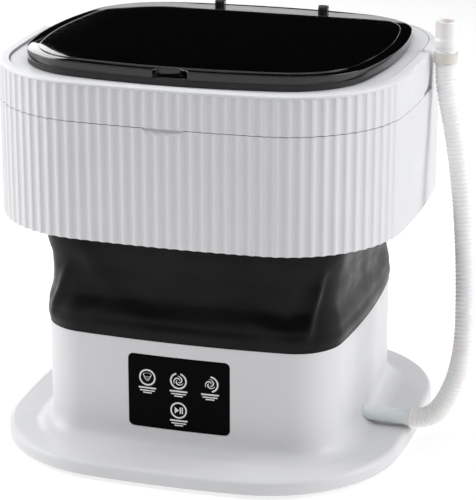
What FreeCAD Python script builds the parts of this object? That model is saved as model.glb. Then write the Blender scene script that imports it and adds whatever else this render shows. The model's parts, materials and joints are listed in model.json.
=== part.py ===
"""Portable mini washer: a motor base, a collapsible bucket and a ribbed ring with lid and handle.

All lengths are millimetres. +Z is up, the front faces -Y and the origin is on the floor
under the middle of the base.
"""
import FreeCAD, Part
import math
import os
import re
import Sketcher

Vector = FreeCAD.Vector
Constraint = Sketcher.Constraint
UP = Vector(0, 0, 1)
ALONG_X = FreeCAD.Rotation(Vector(0, 1, 0), 90)
ALONG_Y = FreeCAD.Rotation(Vector(1, 0, 0), -90)

doc = FreeCAD.newDocument("mini_washer")
nodes = []

# ---------------------------------------------------------------- driving dimensions

SIZES = {
    # plan outlines: half sizes, corner radius and how far each side bows outwards
    "ring_half_x": 165, "ring_half_y": 152.6, "ring_corner": 92.8, "ring_bulge": 2.4,
    "lid_half_x": 145, "lid_half_y": 136, "lid_corner": 66.5, "lid_bulge": 6.5,
    "column_half_x": 125.5, "column_half_y": 119, "column_corner": 39, "column_bulge": 4,
    "foot_half_x": 166, "foot_half_y": 166, "foot_corner": 110, "foot_bulge": 2,
    # heights above the floor
    "feet_top": 3.5, "brim_top": 14.7, "column_top": 104.2, "waist_level": 138,
    "ring_bottom": 193.8, "seam_level": 286.5, "plate_bottom": 313, "plate_top": 316,
    "flute_top": 315.4, "rim_top": 317.7, "rear_top": 316.2, "tub_level": 86, "gear_level": 44,
    # lid: its top slopes down to the back, and its dark frame shows under the front half
    "lid_bottom": 316.4, "lid_front_top": 328, "lid_back_top": 321, "lid_front_seam": 321.6,
    "lid_seam_end": 0, "lid_raise": 0.8, "lid_skin": 2.3, "lid_raise_inset": 9.5,
    # walls and gaps
    "wall": 3, "gap": 0.5, "handle_inset": 8, "recess_inset": 9, "rear_start": 31, "rear_round": 8,
    # ribbed band
    "flute_pitch": 9.1, "flute_depth": 1.1, "flute_radius": 7, "flute_count": 43,
    # carry handle
    "pivot_y": 11.4, "pivot_level": 303.1, "pivot_radius": 3, "ear_radius": 14.6, "ear_corner": 4,
    "scoop_radius": 80, "scoop_ahead": 64.9, "scoop_rise": 41.3, "scoop_half": 28,
    # lid hinge
    "hinge_x": 46, "hinge_y": 139.4, "hinge_level": 321, "hinge_radius": 3.2,
    # control panel
    "panel_x": -0.8, "panel_level": 61.6, "panel_width": 84, "panel_height": 61.4, "panel_depth": 1.6,
    "panel_corner": 4.5, "key_radius": 7.6, "key_pitch": 26, "key_row": 73.2, "key_low_row": 48.2,
    # drain
    "drain_x": 90, "drain_y": -20, "drain_level": 23, "pipe_radius": 5.9, "pipe_bore": 4.6,
    "hose_start": 164.5, "hose_radius": 8.5, "hose_top_x": 175.2, "hose_top_y": 30, "hose_top": 322,
    # drive
    "shaft_radius": 5, "gear_module": 1.5, "gear_teeth": 56, "pinion_teeth": 14, "backlash": 0.3,
    "motor_radius": 24, "pulsator_radius": 62, "basket_radius": 90, "basket_bottom": 97,
    "basket_top": 170,
}

sheet = doc.addObject("Spreadsheet::Sheet", "Sizes")
for row, (alias, number) in enumerate(SIZES.items(), 1):
    sheet.set(f"A{row}", alias)
    sheet.set(f"B{row}", str(number))
    sheet.setAlias(f"B{row}", alias)
doc.recompute()


def bound(text):
    """An expression over the sheet's aliases, written in full."""
    return re.sub(r"[a-z]\w*", lambda word: "Sizes." + word.group(), str(text))


def value(text):
    """The number that an expression over the aliases gives now."""
    return float(sheet.evalExpression(bound(text)))


def bind(thing, **texts):
    """Ties properties of an object to the sheet; two underscores stand for a dot."""
    for path, text in texts.items():
        thing.setExpression(path.replace("__", "."), bound(text))


# ---------------------------------------------------------------- sketches

def new_sketch(body, role, offset="0"):
    """A sketch on one of the body's own origin planes, moved along the plane's normal."""
    sketch = body.newObject("Sketcher::SketchObject", "Sketch")
    plane = next(item for item in body.Origin.OriginFeatures if item.Role == role)
    sketch.AttachmentSupport = [(plane, "")]
    sketch.MapMode = "FlatFace"
    bind(sketch, AttachmentOffset__Base__z=offset)
    return sketch


def constrain(sketch, text, kind, *where):
    """Adds one dimension and ties it to the sheet."""
    number = sketch.addConstraint(Constraint(kind, *where, value(text)))
    sketch.setExpression(f"Constraints[{number}]", bound(text))


def place(sketch, shape, point, x, y):
    """Fixes a point of a shape at x, y from the sketch's origin."""
    for kind, axis, text in (("DistanceX", -2, x), ("DistanceY", -1, y)):
        number = value(text)
        if abs(number) < 1e-9:
            sketch.addConstraint(Constraint("PointOnObject", shape, point, axis))
        elif number > 0:
            constrain(sketch, text, kind, -1, 1, shape, point)
        else:
            constrain(sketch, f"-({text})", kind, shape, point, -1, 1)


def circle(sketch, radius, x="0", y="0"):
    centre = Vector(value(x), value(y), 0)
    shape = sketch.addGeometry(Part.Circle(centre, UP, value(radius)), False)
    constrain(sketch, radius, "Radius", shape)
    place(sketch, shape, 3, x, y)


def polygon(sketch, points):
    """Closed straight-sided outline through points given as pairs of expressions."""
    corners = [Vector(value(x), value(y), 0) for x, y in points]
    first = sketch.GeometryCount
    count = len(points)
    for index in range(count):
        sketch.addGeometry(Part.LineSegment(corners[index], corners[(index + 1) % count]), False)
    for index, (x, y) in enumerate(points):
        sketch.addConstraint(Constraint("Coincident", first + index, 2,
                                        first + (index + 1) % count, 1))
        place(sketch, first + index, 1, x, y)


def rectangle(sketch, low_x, high_x, low_y, high_y):
    polygon(sketch, [(low_x, low_y), (high_x, low_y), (high_x, high_y), (low_x, high_y)])


def rounded(sketch, family, inset="0"):
    """A soft rectangle of four bowed sides and four corner arcs, moved inwards by inset."""
    half_x, half_y, corner, bulge = (family + part for part in
                                     ("_half_x", "_half_y", "_corner", "_bulge"))
    centre_x = f"({half_x} - {corner} - {bulge})"
    centre_y = f"({half_y} - {corner} - {bulge})"
    bow = f"({corner} + {bulge})^2 - {corner}^2"
    side = f"({centre_y}^2 + {bow}) / (2 * {bulge}) - ({inset})"
    end = f"({centre_x}^2 + {bow}) / (2 * {bulge}) - ({inset})"
    round_off = f"{corner} - ({inset})"
    x, y, side_r, end_r, corner_r = (value(text) for text in
                                     (centre_x, centre_y, side, end, round_off))
    side_x = value(f"{half_x} - ({inset})") - side_r
    end_y = value(f"{half_y} - ({inset})") - end_r
    low = math.atan2(y, x - side_x)
    high = math.atan2(y - end_y, x)
    turn = math.pi
    arcs = [(side_x, 0, side_r, -low, low), (x, y, corner_r, low, high),
            (0, end_y, end_r, high, turn - high), (-x, y, corner_r, turn - high, turn - low),
            (-side_x, 0, side_r, turn - low, turn + low),
            (-x, -y, corner_r, turn + low, turn + high),
            (0, -end_y, end_r, turn + high, 2 * turn - high),
            (x, -y, corner_r, 2 * turn - high, 2 * turn - low)]
    first = sketch.GeometryCount
    for arc_x, arc_y, radius, start, stop in arcs:
        ring = Part.Circle(Vector(arc_x, arc_y, 0), UP, radius)
        sketch.addGeometry(Part.ArcOfCircle(ring, start, stop), False)
    for index in range(8):
        sketch.addConstraint(Constraint("Tangent", first + index, 2, first + (index + 1) % 8, 1))
    for index, text in ((0, side), (1, round_off), (2, end)):
        constrain(sketch, text, "Radius", first + index)
    for one, other in ((0, 4), (2, 6), (1, 3), (1, 5), (1, 7)):
        sketch.addConstraint(Constraint("Equal", first + one, first + other))
    constrain(sketch, centre_x, "DistanceX", -1, 1, first + 1, 3)
    constrain(sketch, centre_y, "DistanceY", -1, 1, first + 1, 3)
    sketch.addConstraint(Constraint("Symmetric", first + 1, 3, first + 3, 3, -2))
    sketch.addConstraint(Constraint("Symmetric", first + 1, 3, first + 5, 3, -1, 1))
    sketch.addConstraint(Constraint("Symmetric", first + 1, 3, first + 7, 3, -1))


# ---------------------------------------------------------------- features

def new_body(label):
    body = doc.addObject("PartDesign::Body", label)
    body.Label = label
    return body


def keep(thing, label=None):
    """Marks an object as one piece of the washer."""
    if label:
        thing.Label = label
    nodes.append(thing)
    return thing


def pad(body, low, high, draw):
    """Adds material between two heights, its outline drawn at the lower one."""
    sketch = new_sketch(body, "XY_Plane", low)
    draw(sketch)
    feature = body.newObject("PartDesign::Pad", "Pad")
    feature.Profile = sketch
    bind(feature, Length=f"({high}) - ({low})")
    doc.recompute()
    return feature


def pocket(body, low, high, draw):
    """Removes material between two heights, its outline drawn at the lower one."""
    before = body.Shape.Volume
    sketch = new_sketch(body, "XY_Plane", low)
    draw(sketch)
    feature = body.newObject("PartDesign::Pocket", "Pocket")
    feature.Profile = sketch
    feature.Reversed = True
    bind(feature, Length=f"({high}) - ({low})")
    doc.recompute()
    if body.Shape.Volume >= before:
        raise ValueError(f"a pocket in {body.Label} cuts nothing")
    return feature


def frame(label, low, high, *outlines):
    """A flat piece between two heights, bounded by one or two soft rectangles."""
    body = new_body(label)
    pad(body, low, high, lambda sketch: [rounded(sketch, *outline) for outline in outlines])
    return body


def side_profile(label, points):
    """A solid as wide as the ring whose outline, seen from the side, is given as y, z pairs."""
    body = new_body(label)
    sketch = new_sketch(body, "YZ_Plane")
    polygon(sketch, points)
    feature = body.newObject("PartDesign::Pad", "Pad")
    feature.Profile = sketch
    feature.Midplane = True
    bind(feature, Length="2 * ring_half_x")
    doc.recompute()
    return body


def turned(label, points, x="0", y="0", z="0", rotation=None):
    """A piece turned about its own Z axis from a profile of radius and height pairs."""
    body = new_body(label)
    sketch = new_sketch(body, "XZ_Plane")
    polygon(sketch, points)
    feature = body.newObject("PartDesign::Revolution", "Revolution")
    feature.Profile = sketch
    feature.ReferenceAxis = (sketch, ["V_Axis"])
    feature.Angle = 360
    if rotation:
        body.Placement = FreeCAD.Placement(Vector(), rotation)
    bind(body, Placement__Base__x=x, Placement__Base__y=y, Placement__Base__z=z)
    doc.recompute()
    return body


def tube(label, outer, bore, low, high, **place_at):
    """A plain tube or, with a bore of 0, a plain rod."""
    return turned(label, [(bore, low), (outer, low), (outer, high), (bore, high)], **place_at)


def fillet(body, radius, choose):
    """Rounds the edges of the body's last feature that choose picks by their box."""
    base = body.Tip
    names = [f"Edge{index}" for index, edge in enumerate(base.Shape.Edges, 1)
             if choose(edge.BoundBox)]
    feature = body.newObject("PartDesign::Fillet", "Fillet")
    feature.Base = (base, names)
    feature.Radius = radius
    doc.recompute()
    return feature


def cylinder(radius, length, x="0", y="0", z="0", rotation=FreeCAD.Rotation()):
    """A cylinder that starts at x, y, z and runs up, or along the rotation given."""
    shape = doc.addObject("Part::Cylinder", "Cylinder")
    shape.Placement = FreeCAD.Placement(Vector(), rotation)
    bind(shape, Radius=radius, Height=length,
         Placement__Base__x=x, Placement__Base__y=y, Placement__Base__z=z)
    return shape


def sphere(radius, x, y, z):
    """A ball around x, y, z."""
    shape = doc.addObject("Part::Sphere", "Sphere")
    bind(shape, Radius=radius, Placement__Base__x=x, Placement__Base__y=y, Placement__Base__z=z)
    return shape


def box(low, high):
    """A box between two corners given as triples of expressions."""
    shape = doc.addObject("Part::Box", "Box")
    for side, axis, start, stop in zip(("Length", "Width", "Height"), "xyz", low, high):
        bind(shape, **{side: f"({stop}) - ({start})", "Placement__Base__" + axis: start})
    return shape


def fuse(*shapes):
    result = doc.addObject("Part::MultiFuse", "Fusion")
    result.Shapes = list(shapes)
    result.Refine = False
    return result


def cut(base, tool):
    result = doc.addObject("Part::Cut", "Cut")
    result.Base = base
    result.Tool = tool
    return result


def common(one, other):
    result = doc.addObject("Part::Common", "Common")
    result.Base = one
    result.Tool = other
    return result


def screws(label, places, low, head_radius, head_height, shank_radius, shank_height):
    """Identical upright screws, head down, as separate solids of one piece list entry."""
    links = [fuse(cylinder(head_radius, head_height, x, y, low),
                  cylinder(shank_radius, shank_height, x, y, f"{low} + {head_height}"))
             for x, y in places]
    group = doc.addObject("Part::Compound", label)
    group.Links = links
    return keep(group, label)


def corners(x, y):
    return [(f"{sx}{x}", f"{sy}{y}") for sx in ("", "-") for sy in ("", "-")]


# ---------------------------------------------------------------- control panel

KEYS = {"key_spin": ("panel_x - key_pitch", "key_row"),
        "key_long_wash": ("panel_x", "key_row"),
        "key_short_wash": ("panel_x + key_pitch", "key_row"),
        "key_start_pause": ("panel_x", "key_low_row")}
SWITCH_FRONT = "-column_half_y + 6.6"
SWITCH_BACK = "-column_half_y + 11"
BOARD_BACK = "-column_half_y + 12.6"


def panel_block(label, grow, depth):
    """The curved slice of the column's skin behind the panel, rounded at its corners."""
    skin = frame(label + "_skin", "20", "column_top", ("column",), ("column", depth))
    block = new_body(label + "_block")
    sketch = new_sketch(block, "XZ_Plane", "column_half_y / 2")
    rectangle(sketch, f"panel_x - panel_width / 2 - {grow}", f"panel_x + panel_width / 2 + {grow}",
              f"panel_level - panel_height / 2 - {grow}", f"panel_level + panel_height / 2 + {grow}")
    feature = block.newObject("PartDesign::Pad", "Pad")
    feature.Profile = sketch
    bind(feature, Length="column_half_y")
    doc.recompute()
    fillet(block, value("panel_corner"), lambda edge: edge.YLength > value("column_half_y") - 1)
    return common(skin, block)


def key_holes(radius, start, stop):
    return fuse(*[cylinder(radius, f"({stop}) - ({start})", x, start, z, ALONG_Y)
                  for x, z in KEYS.values()])


def control_panel():
    """Glossy fascia flush with the column, four keys in it, switches and board behind."""
    fascia = panel_block("fascia", "0", "panel_depth")
    holes = key_holes("key_radius + 0.15", "-column_half_y - 2", "-column_half_y + 8")
    keep(cut(fascia, holes), "control_fascia")
    for label, (x, z) in KEYS.items():
        skin = frame(label + "_skin", "20", "column_top", ("column",), ("column", "panel_depth"))
        cap = common(skin, cylinder("key_radius", "6", x, "-column_half_y - 2", z, ALONG_Y))
        stem = cylinder("2", "4.9", x, "-column_half_y + 1", z, ALONG_Y)
        keep(fuse(cap, stem), label)
    switches = doc.addObject("Part::Compound", "tact_switches")
    switches.Links = [box((f"{x} - 3", SWITCH_FRONT, f"{z} - 3"), (f"{x} + 3", SWITCH_BACK, f"{z} + 3"))
                      for x, z in KEYS.values()]
    keep(switches, "tact_switches")
    keep(box(("panel_x - 38", SWITCH_BACK, "panel_level - 25"),
             ("panel_x + 38", BOARD_BACK, "panel_level + 25")), "control_board")


# ---------------------------------------------------------------- base

POST_X = "100"
POST_Y = "112"


def base_shell():
    """White outer housing: a round-cornered foot that flares up into the column."""
    body = new_body("base_housing")
    pad(body, "feet_top", "brim_top", lambda sketch: rounded(sketch, "foot"))
    pad(body, "brim_top - 4", "column_top", lambda sketch: rounded(sketch, "column"))
    top = value("brim_top")
    reach = value("column_half_x") + 1

    def level_edge(edge, inner):
        """True for an edge of the brim's top face, at the column or at the outer rim."""
        far = max(edge.XMax, -edge.XMin, edge.YMax, -edge.YMin)
        return abs(edge.ZMax - top) < 1e-6 and abs(edge.ZMin - top) < 1e-6 and (far < reach) == inner

    fillet(body, 15, lambda edge: level_edge(edge, True))
    fillet(body, 4.5, lambda edge: level_edge(edge, False))
    pocket(body, "feet_top", "brim_top - wall", lambda sketch: rounded(sketch, "foot", "5"))
    pocket(body, "feet_top", "column_top - wall", lambda sketch: rounded(sketch, "column", "wall"))
    pocket(body, "feet_top", "column_top + 1", lambda sketch: rounded(sketch, "column", "18"))
    openings = fuse(
        panel_block("seat", "0.2", "panel_depth + 0.1"),
        key_holes("key_radius + 0.15", "-column_half_y - 2", "-column_half_y + 5"),
        cylinder("pipe_radius + 0.2", "24", "column_half_x - 10", "drain_y", "drain_level", ALONG_X),
        cylinder("5.2", "10", "0", "column_half_y - 6", "40", ALONG_Y))
    posts = [cylinder("4", "brim_top - wall - 6 + 0.5", x, y, "6") for x, y in corners(POST_X, POST_Y)]
    bores = [cylinder("1.3", "5", x, y, "5.5") for x, y in corners(POST_X, POST_Y)]
    keep(cut(fuse(cut(body, openings), *posts), fuse(*bores)), "base_shell")


def base_underside():
    """Closing plate with cooling slots, its screws and the four rubber feet."""
    plate = frame("bottom_plate", "feet_top", "feet_top + 2.3", ("foot", "5.4"))
    slots = [box((f"{offset} - 2", "30", "feet_top - 1"), (f"{offset} + 2", "80", "feet_top + 4"))
             for offset in range(-40, 50, 10)]
    holes = [cylinder("1.7", "5", x, y, "feet_top - 1") for x, y in corners(POST_X, POST_Y)]
    keep(cut(plate, fuse(*slots, *holes)), "base_bottom_cover")
    screws("bottom_screws", corners(POST_X, POST_Y), "feet_top - 1.5", "3", "1.5", "1.25", "6")
    names = ("rear_right", "front_right", "rear_left", "front_left")
    for name, (x, y) in zip(names, corners("84", "132")):
        foot = doc.addObject("Part::Cone", "Cone")
        bind(foot, Radius1="9", Radius2="11", Height="feet_top", Placement__Base__x=x,
             Placement__Base__y=y)
        keep(foot, "rubber_foot_" + name)


def power_inlet():
    """Round socket for the mains adaptor in the middle of the rear wall."""
    barrel = fuse(cylinder("5", "15.5", "0", "column_half_y - 14", "40", ALONG_Y),
                  cylinder("7", "1.4", "0", "column_half_y + 0.1", "40", ALONG_Y))
    hollow = cut(cylinder("2.9", "12", "0", "column_half_y - 9", "40", ALONG_Y),
                 cylinder("1", "9", "0", "column_half_y - 10", "40", ALONG_Y))
    keep(cut(barrel, hollow), "power_inlet")


def tub_floor():
    """Rigid white dish that closes the bucket below, with the shaft hole and the drain hole."""
    body = new_body("tub_dish")
    pad(body, "tub_level - 2", "column_top", lambda sketch: rounded(sketch, "column", "18.4"))
    pad(body, "column_top", "column_top + 2", lambda sketch: rounded(sketch, "column", "10.6"))
    pocket(body, "tub_level", "column_top + 3", lambda sketch: rounded(sketch, "column", "20.4"))
    pocket(body, "tub_level - 3", "tub_level + 1", lambda sketch: circle(sketch, "9.1"))
    pocket(body, "tub_level - 3", "tub_level + 1",
           lambda sketch: circle(sketch, "pipe_bore + 1", "drain_x", "drain_y"))
    keep(body, "tub_floor")
    keep(frame("lower_clamp_ring", "column_top + 2.1", "column_top + 5",
               ("column", "4"), ("column", "20")))


def bucket():
    """Black folding sleeve, waisted between its two clamped hems."""
    levels = (("column_top + 0.1", "0.3"), ("waist_level", "3"), ("ring_bottom - 4", "-3"),
              ("plate_bottom - 0.2", "-3"))
    body = new_body("bucket_sleeve")
    for kind, extra in (("PartDesign::AdditiveLoft", "0"), ("PartDesign::SubtractiveLoft", "2")):
        sketches = []
        for level, inset in levels:
            sketch = new_sketch(body, "XY_Plane", level)
            rounded(sketch, "column", f"({inset}) + {extra}")
            sketches.append(sketch)
        loft = body.newObject(kind, "Loft")
        loft.Profile = sketches[0]
        loft.Sections = sketches[1:]
        loft.Ruled = True
        doc.recompute()
    pad(body, "column_top + 0.1", "column_top + 1.9",
        lambda sketch: [rounded(sketch, "column", "1.2"), rounded(sketch, "column", "10.4")])
    pad(body, "plate_bottom - 1.9", "plate_bottom - 0.2",
        lambda sketch: [rounded(sketch, "column", "-13"), rounded(sketch, "column", "-2")])
    keep(body, "bucket")


def drain():
    """Pipe from the tub's drain hole to the nozzle at the right, and its collar."""
    down = "tub_level - 2.1 - drain_level"
    across = "column_half_x - wall - 0.5 - drain_x"
    shapes = []
    for radius in ("pipe_radius + 1.1", "pipe_bore"):
        shapes.append(fuse(sphere(radius, "drain_x", "drain_y", "drain_level"),
                           cylinder(radius, down, "drain_x", "drain_y", "drain_level"),
                           cylinder(radius, across, "drain_x", "drain_y", "drain_level", ALONG_X)))
    keep(cut(*shapes), "drain_elbow")
    start = "column_half_x - wall - 0.4"
    keep(tube("drain_nozzle", "pipe_radius", "pipe_bore", "0", f"hose_start - 3.5 - ({start})",
              x=start, y="drain_y", z="drain_level", rotation=ALONG_X))
    keep(tube("nozzle_collar", "pipe_radius + 1", "pipe_bore", "0", "3.4",
              x="hose_start - 3.45", y="drain_y", z="drain_level", rotation=ALONG_X))


# Route of the drain hose from the nozzle to its open end beside the ring.
HOSE_ROUTE = [(164.5, -20, 23), (175, -20, 23), (186.5, -19.5, 29.5), (195.5, -17.5, 44),
              (202.5, -14, 64), (205.5, -9, 91), (204.3, -3, 124), (201, 5, 165),
              (195, 14, 208), (186.8, 22.5, 250), (178.5, 28, 281), (175.2, 30, 301),
              (175.2, 30, 322)]
ARC_SHARE = 0.45


def bend_radius(before, corner, after):
    """Radius of the largest arc that its two runs allow, and the turn at this corner."""
    turn = (corner - before).getAngle(after - corner)
    shorter = min((corner - before).Length, (after - corner).Length)
    return ARC_SHARE * shorter / math.tan(turn / 2), turn


def hose_path(points):
    """Straight runs joined by tangent arcs."""
    edges = []
    start = points[0]
    for before, corner, after in zip(points, points[1:], points[2:]):
        radius, turn = bend_radius(before, corner, after)
        reach = radius * math.tan(turn / 2)
        towards = (before - corner).normalize()
        away = (after - corner).normalize()
        enter = corner + towards * reach
        leave = corner + away * reach
        middle = corner + (towards + away).normalize() * (radius / math.cos(turn / 2) - radius)
        edges.append(Part.LineSegment(start, enter).toShape())
        edges.append(Part.Arc(enter, middle, leave).toShape())
        start = leave
        print(f"hose bend radius {radius:.1f} at a turn of {math.degrees(turn):.1f} degrees")
    edges.append(Part.LineSegment(start, points[-1]).toShape())
    return Part.Wire(edges)


def drain_hose():
    """Corrugated hose as a plain round length, its clip at the ring and its open cuff."""
    points = [Vector(*point) for point in HOSE_ROUTE]
    path = hose_path(points)
    radius = value("hose_radius")
    section = Part.Wire(Part.Circle(points[0], points[1] - points[0], radius).toShape())
    solid = path.makePipeShell([section], True, True)
    ratio = solid.Volume / (math.pi * radius ** 2 * path.Length)
    print(f"hose length {path.Length:.1f}, volume over section times length {ratio:.4f}")
    hose = doc.addObject("Part::Feature", "drain_hose")
    hose.Shape = solid
    hose.Placement = FreeCAD.Placement()
    keep(hose, "drain_hose")
    keep(tube("hose_clip", "hose_radius + 1.3", "hose_radius + 0.12", "0", "7.5",
              x="hose_top_x", y="hose_top_y", z="hose_top - 13"))
    keep(turned("hose_cuff", [("0", "0.05"), ("hose_radius + 1", "0.05"), ("hose_radius + 1", "5"),
                              ("hose_radius + 0.2", "7"), ("hose_radius + 0.6", "20"),
                              ("hose_radius - 1.7", "20"), ("hose_radius - 1.7", "6"), ("0", "6")],
                x="hose_top_x", y="hose_top_y", z="hose_top"))


# ---------------------------------------------------------------- drive

def gear(label, teeth, low, high, bore, x, first_turn):
    """Spur gear with straight-flanked teeth, the first one turned from +X by first_turn."""
    pitch_radius = f"gear_module * {teeth} / 2"
    body = new_body(label)
    root = f"{pitch_radius} - 1.25 * gear_module"
    pad(body, low, high, lambda sketch: [circle(sketch, root), circle(sketch, bore)])
    foot = "gear_module * 1.05"
    crest = "gear_module * 0.42 - backlash / 4"
    tooth = pad(body, low, high, lambda sketch: polygon(
        sketch, [(f"{root} - 0.8", f"-{foot}"), (f"{pitch_radius} + gear_module", f"-({crest})"),
                 (f"{pitch_radius} + gear_module", crest), (f"{root} - 0.8", foot)]))
    pattern = body.newObject("PartDesign::PolarPattern", "PolarPattern")
    pattern.Originals = [tooth]
    pattern.Axis = (tooth.Profile[0], ["N_Axis"])
    pattern.Angle = 360
    bind(pattern, Occurrences=teeth)
    body.Tip = pattern
    body.Placement = FreeCAD.Placement(Vector(), FreeCAD.Rotation(UP, first_turn))
    bind(body, Placement__Base__x=x)
    doc.recompute()
    return keep(body)


MOTOR_X = "-gear_module * (gear_teeth + pinion_teeth) / 2 - backlash / 2"


def motor():
    """Can motor hung under the drive plate, its rotor, shaft and pinion."""
    keep(turned("motor_can", [("0", "7.5"), ("motor_radius", "7.5"), ("motor_radius", "36"),
                              ("motor_radius - 2", "36"), ("motor_radius - 2", "9"), ("0", "9")],
                x=MOTOR_X))
    keep(tube("motor_magnets", "motor_radius - 2.1", "15", "10", "35", x=MOTOR_X))
    keep(tube("motor_rotor", "14", "3", "12", "34", x=MOTOR_X))
    keep(tube("motor_shaft", "3", "0", "9.4", "gear_level + 10", x=MOTOR_X))
    gear("drive_pinion", "pinion_teeth", "gear_level - 1", "gear_level + 9", "3", MOTOR_X,
         180 / value("pinion_teeth"))
    spots = [(f"{MOTOR_X} + {dx}", f"{dy}") for dx, dy in ((0, 17), (0, -17))]
    cap = tube("end_cap_blank", "motor_radius", "3.1", "36.05", "38.4", x=MOTOR_X)
    holes = [cylinder("1.25", "2", x, y, "36.5") for x, y in spots]
    keep(cut(cap, fuse(*holes)), "motor_end_cap")
    bolts = doc.addObject("Part::Compound", "motor_screws")
    bolts.Links = [fuse(cylinder("2.2", "1.2", x, y, "41.1"), cylinder("1.2", "4", x, y, "37.1"))
                   for x, y in spots]
    keep(bolts, "motor_screws")
    return spots


def drive_plate(spots):
    """Plate that carries the motor and hangs from the tub floor on four posts."""
    places = [("-88", "32"), ("-88", "-32"), ("62", "32"), ("62", "-32")]
    plate = box(("-96", "-40", "38.5"), ("70", "40", "41"))
    holes = [cylinder("6", "4", MOTOR_X, "0", "38")]
    holes += [cylinder("1.3", "4", x, y, "38") for x, y in spots]
    posts = [cylinder("4", "tub_level - 2 - 41 - 0.05", x, y, "41") for x, y in places]
    keep(fuse(cut(plate, fuse(*holes)), *posts), "drive_plate")


def spindle():
    """Upright shaft in two ball bearings, with its housing, seal and large gear."""
    keep(turned("bearing_housing", [("11.02", "58"), ("16", "58"), ("16", "79"), ("26", "79"),
                                    ("26", "83.9"), ("11.02", "83.9")]))
    keep(tube("upper_bearing", "11", "shaft_radius + 0.05", "74", "81"))
    keep(tube("lower_bearing", "11", "shaft_radius + 0.05", "60", "67"))
    keep(tube("shaft_seal", "9", "shaft_radius + 0.08", "84", "87"))
    keep(tube("output_shaft", "shaft_radius", "0", "42", "88.9"))
    gear("driven_gear", "gear_teeth", "gear_level", "gear_level + 8", "shaft_radius", "0", 0)


def pulsator():
    """Low wash plate with six straight vanes on a hub, and its fixing screw."""
    body = turned("pulsator", [("2.1", "89"), ("pulsator_radius - 6", "89"), ("pulsator_radius", "91"),
                               ("pulsator_radius", "92.4"), ("pulsator_radius - 6", "91"),
                               ("15", "91"), ("12", "96.9"), ("2.1", "96.9")])
    vane = pad(body, "90", "96", lambda sketch: rectangle(sketch, "12", "pulsator_radius - 8", "-2", "2"))
    pattern = body.newObject("PartDesign::PolarPattern", "PolarPattern")
    pattern.Originals = [vane]
    pattern.Axis = (vane.Profile[0], ["N_Axis"])
    pattern.Angle = 360
    pattern.Occurrences = 6
    body.Tip = pattern
    doc.recompute()
    keep(body)
    keep(turned("pulsator_screw", [("0", "89"), ("2", "89"), ("2", "97"), ("4.5", "97"), ("4.5", "99.5"),
                                   ("0", "99.5")]))


def spin_basket():
    """Lift-out spin basket with slotted sides, held down by a knob."""
    body = turned("spin_basket_bowl",
                  [("6", "basket_bottom"), ("16", "basket_bottom"), ("22", "basket_bottom + 1.5"),
                   ("basket_radius - 6", "basket_bottom + 1.5"), ("basket_radius", "basket_bottom + 7"),
                   ("basket_radius", "basket_top - 3"), ("basket_radius + 3", "basket_top - 3"),
                   ("basket_radius + 3", "basket_top"), ("basket_radius - 2", "basket_top"),
                   ("basket_radius - 2", "basket_bottom + 8"), ("basket_radius - 7", "basket_bottom + 3.5"),
                   ("6", "basket_bottom + 3.5")])
    count = 18
    sketch = new_sketch(body, "YZ_Plane", "basket_radius - 8")
    rectangle(sketch, "-2.5", "2.5", "basket_bottom + 14", "basket_top - 12")
    slot = body.newObject("PartDesign::Pocket", "Pocket")
    slot.Profile = sketch
    slot.Reversed = True
    slot.Length = 16
    doc.recompute()
    pattern = body.newObject("PartDesign::PolarPattern", "PolarPattern")
    pattern.Originals = [slot]
    pattern.Axis = (sketch, ["V_Axis"])
    pattern.Angle = 360
    pattern.Occurrences = count
    body.Tip = pattern
    doc.recompute()
    keep(body, "spin_basket")
    keep(turned("basket_knob", [("5", "basket_bottom + 3.6"), ("11", "basket_bottom + 3.6"),
                                ("9", "basket_bottom + 10"), ("0", "basket_bottom + 11"),
                                ("0", "basket_bottom + 5"), ("5", "basket_bottom + 5")]))


# ---------------------------------------------------------------- ribbed ring

def front_edge(run):
    """Point on the ring's outline at a distance along it from the front middle, and its turn."""
    sign = math.copysign(1, run)
    left = abs(run)
    corner, bulge = value("ring_corner"), value("ring_bulge")
    x = value("ring_half_x") - corner - bulge
    y = value("ring_half_y") - corner - bulge
    bow = (x * x + (corner + bulge) ** 2 - corner ** 2) / (2 * bulge)
    bow_y = bow - value("ring_half_y")
    most = math.atan2(x, bow_y + y)
    turn = min(left / bow, most)
    if left / bow > most:
        turn = most + (left - most * bow) / corner
        point = Vector(x + corner * math.sin(turn), -y - corner * math.cos(turn), 0)
    else:
        point = Vector(bow * math.sin(turn), bow_y - bow * math.cos(turn), 0)
    return Vector(point.x * sign, point.y, 0), turn * sign


def flute_cutters():
    """Upright rods, one per flute, around the front and both front corners."""
    radius = value("flute_radius")
    low = value("ring_bottom") - radius
    flute = Part.makeCylinder(radius, value("flute_top") - low,
                              Vector(0, value("flute_depth") - radius, low))
    count = int(value("flute_count"))
    flutes = []
    for index in range(count):
        point, turn = front_edge((index - (count - 1) / 2) * value("flute_pitch"))
        spin = FreeCAD.Rotation(UP, math.degrees(turn))
        flutes.append(flute.transformed(FreeCAD.Placement(point, spin).toMatrix()))
    cutters = doc.addObject("Part::Feature", "flutes")
    cutters.Shape = Part.makeCompound(flutes)
    return cutters


def handle_space():
    """The outer rim's space above the seam, from the front to just behind the pivots."""
    rim = frame("rim_space", "seam_level", "rim_top + 2", ("ring", "-4"), ("ring", "recess_inset"))
    return common(rim, box(("-ring_half_x - 9", "-ring_half_y - 9", "seam_level - 1"),
                           ("ring_half_x + 9", "rear_start", "rim_top + 9")))


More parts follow.
